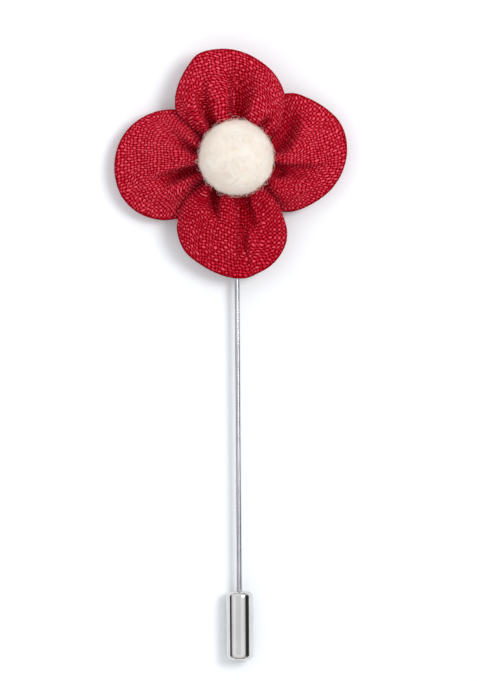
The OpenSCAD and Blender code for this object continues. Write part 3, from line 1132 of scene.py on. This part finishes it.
@dataclass(frozen=True)
class FeltBall:
    """The ball of felted wool in the middle, with its loose fibres, in mm."""

    centre: tuple[float, float, float]
    radius: float
    half_height: float
    lumps: Table = ((5.5, 0.05), (2.2, 0.012), (0.9, 0.005))
    inset: float = 0.2
    fibres: int = 4400
    fibre_r: float = 0.015
    shortest: float = 1.2
    longest: float = 3.6
    bend: float = 0.5
    rise: float = 0.19
    fibre_steps: int = 6
    seed: int = 11

    def skin(self, ways: Array) -> Array:
        """Finds the ball's uneven face.

        Args:
            ways: directions from its middle, one a row.

        Returns:
            The face's points in those directions, in mm.
        """
        smooth = ways * np.array([self.radius, self.radius, self.half_height])
        dent = waves(smooth, self.lumps, self.seed) - self.inset
        return np.array(self.centre) + smooth + ways * dent[:, None]

    def build_body(self) -> bpy.types.Object:
        """Makes the ball itself from a finely divided ball of triangles.

        Returns:
            The ball.
        """
        shape = bmesh.new()
        bmesh.ops.create_icosphere(shape, subdivisions=7, radius=1.0)
        ways = unit(np.array([v.co for v in shape.verts]))
        faces = np.array([[v.index for v in f.verts] for f in shape.faces])
        shape.free()
        stock = MeshStock(faces=[faces])
        stock.add_points(self.skin(ways))
        return stock.make("felt_ball_wool")

    def build_fibres(self) -> bpy.types.Object:
        """Makes the loose fibres: fine bent tubes that creep over the ball and lift off it here and there.

        Returns:
            The fibres.
        """
        rng = np.random.default_rng(self.seed + 1)
        n, steps = self.fibres, self.fibre_steps
        way = unit(rng.normal(size=(n, 3)))
        heading = unit(np.cross(way, rng.normal(size=(n, 3))))
        length = rng.uniform(self.shortest, self.longest, n)
        bend = rng.normal(0, self.bend, n)
        # Those on top, which face the eye, lie flatter than those on the outline
        rise = rng.gamma(1.2, self.rise, n) * np.where(way[:, 2] > 0.55, 0.35, 1.0)
        lean = rng.uniform(0, math.pi, n)
        path = np.zeros((n, steps, 3))
        for k in range(steps):
            lift = rise * np.sin(lean + 2.2 * k / (steps - 1)) ** 2 + 0.01
            path[:, k] = self.skin(way) + way * lift[:, None]
            turn = (bend + rng.normal(0, self.bend, n))[:, None]
            heading = unit(heading + np.cross(way, heading) * turn * 0.5)
            way = unit(way + heading * (length / steps / self.radius)[:, None])
            heading = unit(heading - way * (heading * way).sum(1)[:, None])
        run = unit(np.gradient(path, axis=1))
        side = unit(np.cross(run, path - np.array(self.centre)))
        up = np.cross(side, run)
        thin = self.fibre_r * np.sqrt(np.sin(np.linspace(0.12, math.pi - 0.12, steps)))[None, :, None]
        corners = (2 * math.pi * k / 3 for k in range(3))
        ring = [path + (side * math.cos(a) + up * math.sin(a)) * thin for a in corners]
        stock = MeshStock()
        numbers = stock.add_points(np.stack(ring, 2))
        nxt = np.roll(numbers, -1, axis=2)
        quads = np.stack([numbers[:, :-1], nxt[:, :-1], nxt[:, 1:], numbers[:, 1:]], -1)
        stock.faces += [quads.reshape(-1, 4), numbers[:, 0, ::-1], numbers[:, -1]]
        return stock.make("felt_ball_fibres")

    def dress(self, thing: bpy.types.Object, wool: FeltedWool) -> None:
        """Puts the ball or its fibres in wool and logs what they are.

        Args:
            thing: the ball or the fibres.
            wool: the finish.
        """
        wear(thing, wool.make())
        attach(thing, "flower_pin")
        LOG.info("%s: %d faces of felted wool", thing.name, len(thing.data.polygons))


@dataclass(frozen=True)
class MetalPart:
    """A drawn or turned piece of metal, which is the solid itself."""

    node: str
    finish: Finish

    def dress(self) -> None:
        """Gives the solid its finish."""
        wear(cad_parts[self.node], self.finish.make())
        LOG.info("%s: the solid in %s", self.node, self.finish.name)


# The studio


@dataclass(frozen=True)
class Studio:
    """A pale card under soft light from the upper right, and a camera that looks straight down on it."""

    lens: float = 400.0
    sensor: float = 36.0
    view_height: float = 127.3
    view_centre: tuple[float, float] = (1.25, 2.65)
    roll: float = -0.42
    level: float = 4.0
    card_half: float = 1500.0
    near_wall: float = 0.17
    front_wall: float = 0.15
    glow: float = 1.03
    lamp_watts: float = 2.2
    lamp_side: float = 0.26
    lamp_place: tuple[float, float, float] = (0.36, 0.16, 0.62)

    def build_floor(self) -> None:
        """Lays the card under the pin."""
        stock = MeshStock()
        x, y = np.meshgrid(*[[-self.card_half, self.card_half]] * 2, indexing="ij")
        stock.add_grid(stock.add_points(np.stack([x, y, 0 * x], -1)))
        card = stock.make("card")
        wear(card, SmoothPaper().make())

    def build_camera(self) -> None:
        """Hangs the camera over the pin, with a long lens, a little turned as the photographed pin lies."""
        data = bpy.data.cameras.new("camera")
        data.sensor_width, data.lens = self.sensor, self.lens
        data.clip_start, data.clip_end = 0.05, 10.0
        camera = hang("camera", data)
        distance = self.view_height * self.lens / self.sensor
        camera.location = [x * MM for x in (*self.view_centre, self.level + distance)]
        camera.rotation_euler = (0.0, 0.0, math.radians(self.roll))
        bpy.context.scene.camera = camera

    def build_room(self) -> None:
        """Makes the room's soft glow, darker towards its walls."""
        world = bpy.data.worlds.new("room")
        bpy.context.scene.world = world
        bpy.context.scene.view_settings.view_transform = "Standard"
        world.use_nodes = True
        world.node_tree.nodes.clear()
        node = partial(add, world.node_tree)
        way = node("SeparateXYZ", (node("TexCoord", out="Generated"),)).node.outputs
        # The wall on the right and the one in front are nearer, so they stand higher in a reflection
        height = node("MULTIPLY_ADD", (way[0], -self.near_wall, way[2]))
        height = node("MULTIPLY_ADD", (way[1], self.front_wall, height))
        pale, ceiling = (0.92, 0.93, 0.955, 1), (1.03, 1.035, 1.05, 1)
        sides = (
            (0.0, (0.10, 0.10, 0.105, 1)),
            (0.12, (0.02, 0.02, 0.025, 1)),
            (0.41, (0.03, 0.03, 0.035, 1)),
            (0.50, (0.45, 0.45, 0.46, 1)),
            (0.66, pale),
            (0.88, ceiling),
            (0.98, (0.80, 0.805, 0.82, 1)),
        )
        ends = ((0.0, (0.34, 0.34, 0.35, 1)), (0.3, (0.50, 0.50, 0.51, 1)), (0.62, pale), (1.0, ceiling))
        sides, ends = (node("ValToRGB", (height,), stops=stops) for stops in (sides, ends))
        endways = node("ABSOLUTE", (way[1],))
        share = node("MapRange", (endways, 0.2, 0.5, 0.0, 1.0), interpolation_type="SMOOTHSTEP")
        glow = node("Mix", {0: share, 6: sides, 7: ends}, 2, data_type="RGBA")
        node("OutputWorld", {"Surface": node("Background", {"Color": glow, "Strength": self.glow})})

    def build_lamp(self) -> None:
        """Hangs a square soft lamp at the upper right, which faces the pin."""
        data = bpy.data.lights.new("key", "AREA")
        data.size, data.energy = self.lamp_side, self.lamp_watts
        light = hang("key", data)
        light.location = self.lamp_place
        aim = bpy.context.scene.camera.location.copy()
        aim.z = 0.0
        light.rotation_euler = (light.location - aim).to_track_quat("Z", "Y").to_euler()


# The pin


@dataclass
class LapelPin:
    """The whole pin, worked out from where its solids are, with the reach of each petal in mm."""

    top: float = 20.85
    right: float = 20.9
    bottom: float = 22.45
    left: float = 22.9
    weave: Weave = Weave()

    def __post_init__(self) -> None:
        """Reads the solids' boxes and sets out the ball and the sizes that the petals share."""
        low, high = (np.array(c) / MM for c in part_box("felt_ball"))
        middle, half = (low + high) / 2, (high - low) / 2
        self.ball = FeltBall(tuple(middle), half[0], half[2])
        pin_high = np.array(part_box("stick_pin")[1]) / MM
        self.flower = Flower((middle[0], middle[1]), half[0], pin_high[1] - middle[1], pin_high[2] + 0.3)

    def petals(self) -> list[Petal]:
        """Sets out the four petals, each from its seams, its outline and its gathers.

        Returns:
            The petals.
        """
        top, right, bottom, left = self.top, self.right, self.bottom, self.left
        top_right = Seam(((0, 27), (0.35, 30.5), (0.7, 42.5), (1, 53)), 0.726 * (top + right) / 2)
        top_left = Seam(((0, 148), (0.35, 146.4), (0.7, 143.9), (1, 140.5)), 0.669 * (top + left) / 2)
        low_left = Seam(((0, 215), (0.35, 215.5), (0.7, 218.5), (1, 225.5)), 0.688 * (bottom + left) / 2)
        low_right = Seam(((0, 315.5), (0.35, 314.5), (0.7, 313.1), (1, 309.9)), 0.598 * (bottom + right) / 2)
        over_wire = 3.725
        return [
            Petal(
                "petal_top", self.flower, top, (top_right, top_left), 0,
                ((0.08, 0.79), (0.19, 0.862), (0.42, 0.97), (0.59, 1), (0.66, 0.99),
                 (0.72, 0.945), (0.82, 0.868), (0.93, 0.776)),
                (Gather(0.185, 0.085, 0.24, 0.6, 0.6, 0.6, 0.6),
                 Gather(0.53, 0.38, 0.3, 1.05, 1.2, 1.7, 0.8),
                 Gather(0.835, 0.7, 0.3, 0.92, 1, 1, 0.7)),
                1.5, ((0, 0.62), (0.3, 0.71), (0.65, 0.71), (1, 0.5)),
                Side.COVERS, Thread.WEFT, -10, 0.97, 21,
            ),
            Petal(
                "petal_right", self.flower, right, (low_right, top_right), -360,
                ((0.05, 0.68), (0.19, 0.797), (0.34, 0.917), (0.48, 0.985), (0.6, 1),
                 (0.68, 0.978), (0.77, 0.918), (0.87, 0.843), (0.95, 0.785)),
                (Gather(0.238, 0.2, 0.4, 0.75, 0.25, 1.2, 1.2),
                 Gather(0.35, 0.32, 0.2, 0.45, 0.8, 0.9, 0.8),
                 Gather(0.45, 0.43, 0.28, 0.95, 0.95, 1.4, 0.6),
                 Gather(0.83, 0.97, 0.3, 0.95, 0.9, 1.3, 1.3),
                 Gather(0.95, 0.93, 0.5, 1, 0.6, 1.7, 0.6)),
                0, ((0, 0.52), (0.4, 0.6), (0.7, 0.62), (1, 0.7)), Side.COVERED, Thread.WARP, 0, 0.97, 22,
            ),
            Petal(
                "petal_bottom", self.flower, bottom, (low_left, low_right), 0,
                ((0.05, 0.77), (0.17, 0.877), (0.29, 0.927), (0.46, 0.985), (0.57, 1),
                 (0.64, 0.977), (0.76, 0.923), (0.88, 0.822), (0.94, 0.735), (0.97, 0.665)),
                (Gather(0.25, 0.37, 0.24, 0.55, 1.2, 1, 0.8),
                 Gather(0.59, 0.475, 0.5, 2.4, 0.6, 0.5, 0.6),
                 Gather(0.8, 0.72, 0.35, 1.2, 0.3, 1.4, 1.5),
                 Gather(0.645, 0.665, 0.24, 0.68, 1.6, 0.9, 0.9),
                 Gather(0.64, 0.63, 0.2, 0.5, 1.2, 0.6, 0.6)),
                over_wire, ((0, 0), (0.5, 0.02), (1, 0.04)), Side.COVERS, Thread.WEFT, 0, 0.89, 23,
            ),
            Petal(
                "petal_left", self.flower, left, (top_left, low_left), 0,
                ((0.05, 0.7), (0.11, 0.769), (0.22, 0.872), (0.34, 0.951), (0.46, 0.991),
                 (0.58, 1), (0.69, 0.979), (0.81, 0.906), (0.93, 0.782)),
                (Gather(0.312, 0.173, 0.2, 0.8, 0.8, 0.6, 0.7),
                 Gather(0.705, 0.69, 0.34, 0.78, 1.2, 0.65, 0.8)),
                0, ((0, 0.62), (0.4, 0.5), (0.7, 0.5), (1, 0.5)), Side.COVERED, Thread.WARP, 0, 1, 24,
            ),
        ]

    def build(self) -> None:
        """Makes the petals, the ball and the metal, piece by piece."""
        linen = DyedLinen(weave=self.weave).make()
        for petal in self.petals():
            petal.dress(petal.build(self.weave), linen)
        body, fibres = self.ball.build_body(), self.ball.build_fibres()
        self.ball.dress(body, FeltedWool())
        # The loose fibres are too thin for light to spread inside them
        self.ball.dress(fibres, FeltedWool("loose_wool", glow=0.0))
        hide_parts("felt_ball")
        for part in (MetalPart("stick_pin", DRAWN_STEEL), MetalPart("clutch", NICKEL_PLATE)):
            part.dress()


def main() -> None:
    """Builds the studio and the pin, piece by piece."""
    logging.basicConfig(level=logging.INFO, format="%(message)s")
    studio = Studio()
    studio.build_camera()
    studio.build_floor()
    studio.build_room()
    studio.build_lamp()
    LapelPin().build()


if __name__ == "__main__":
    main()
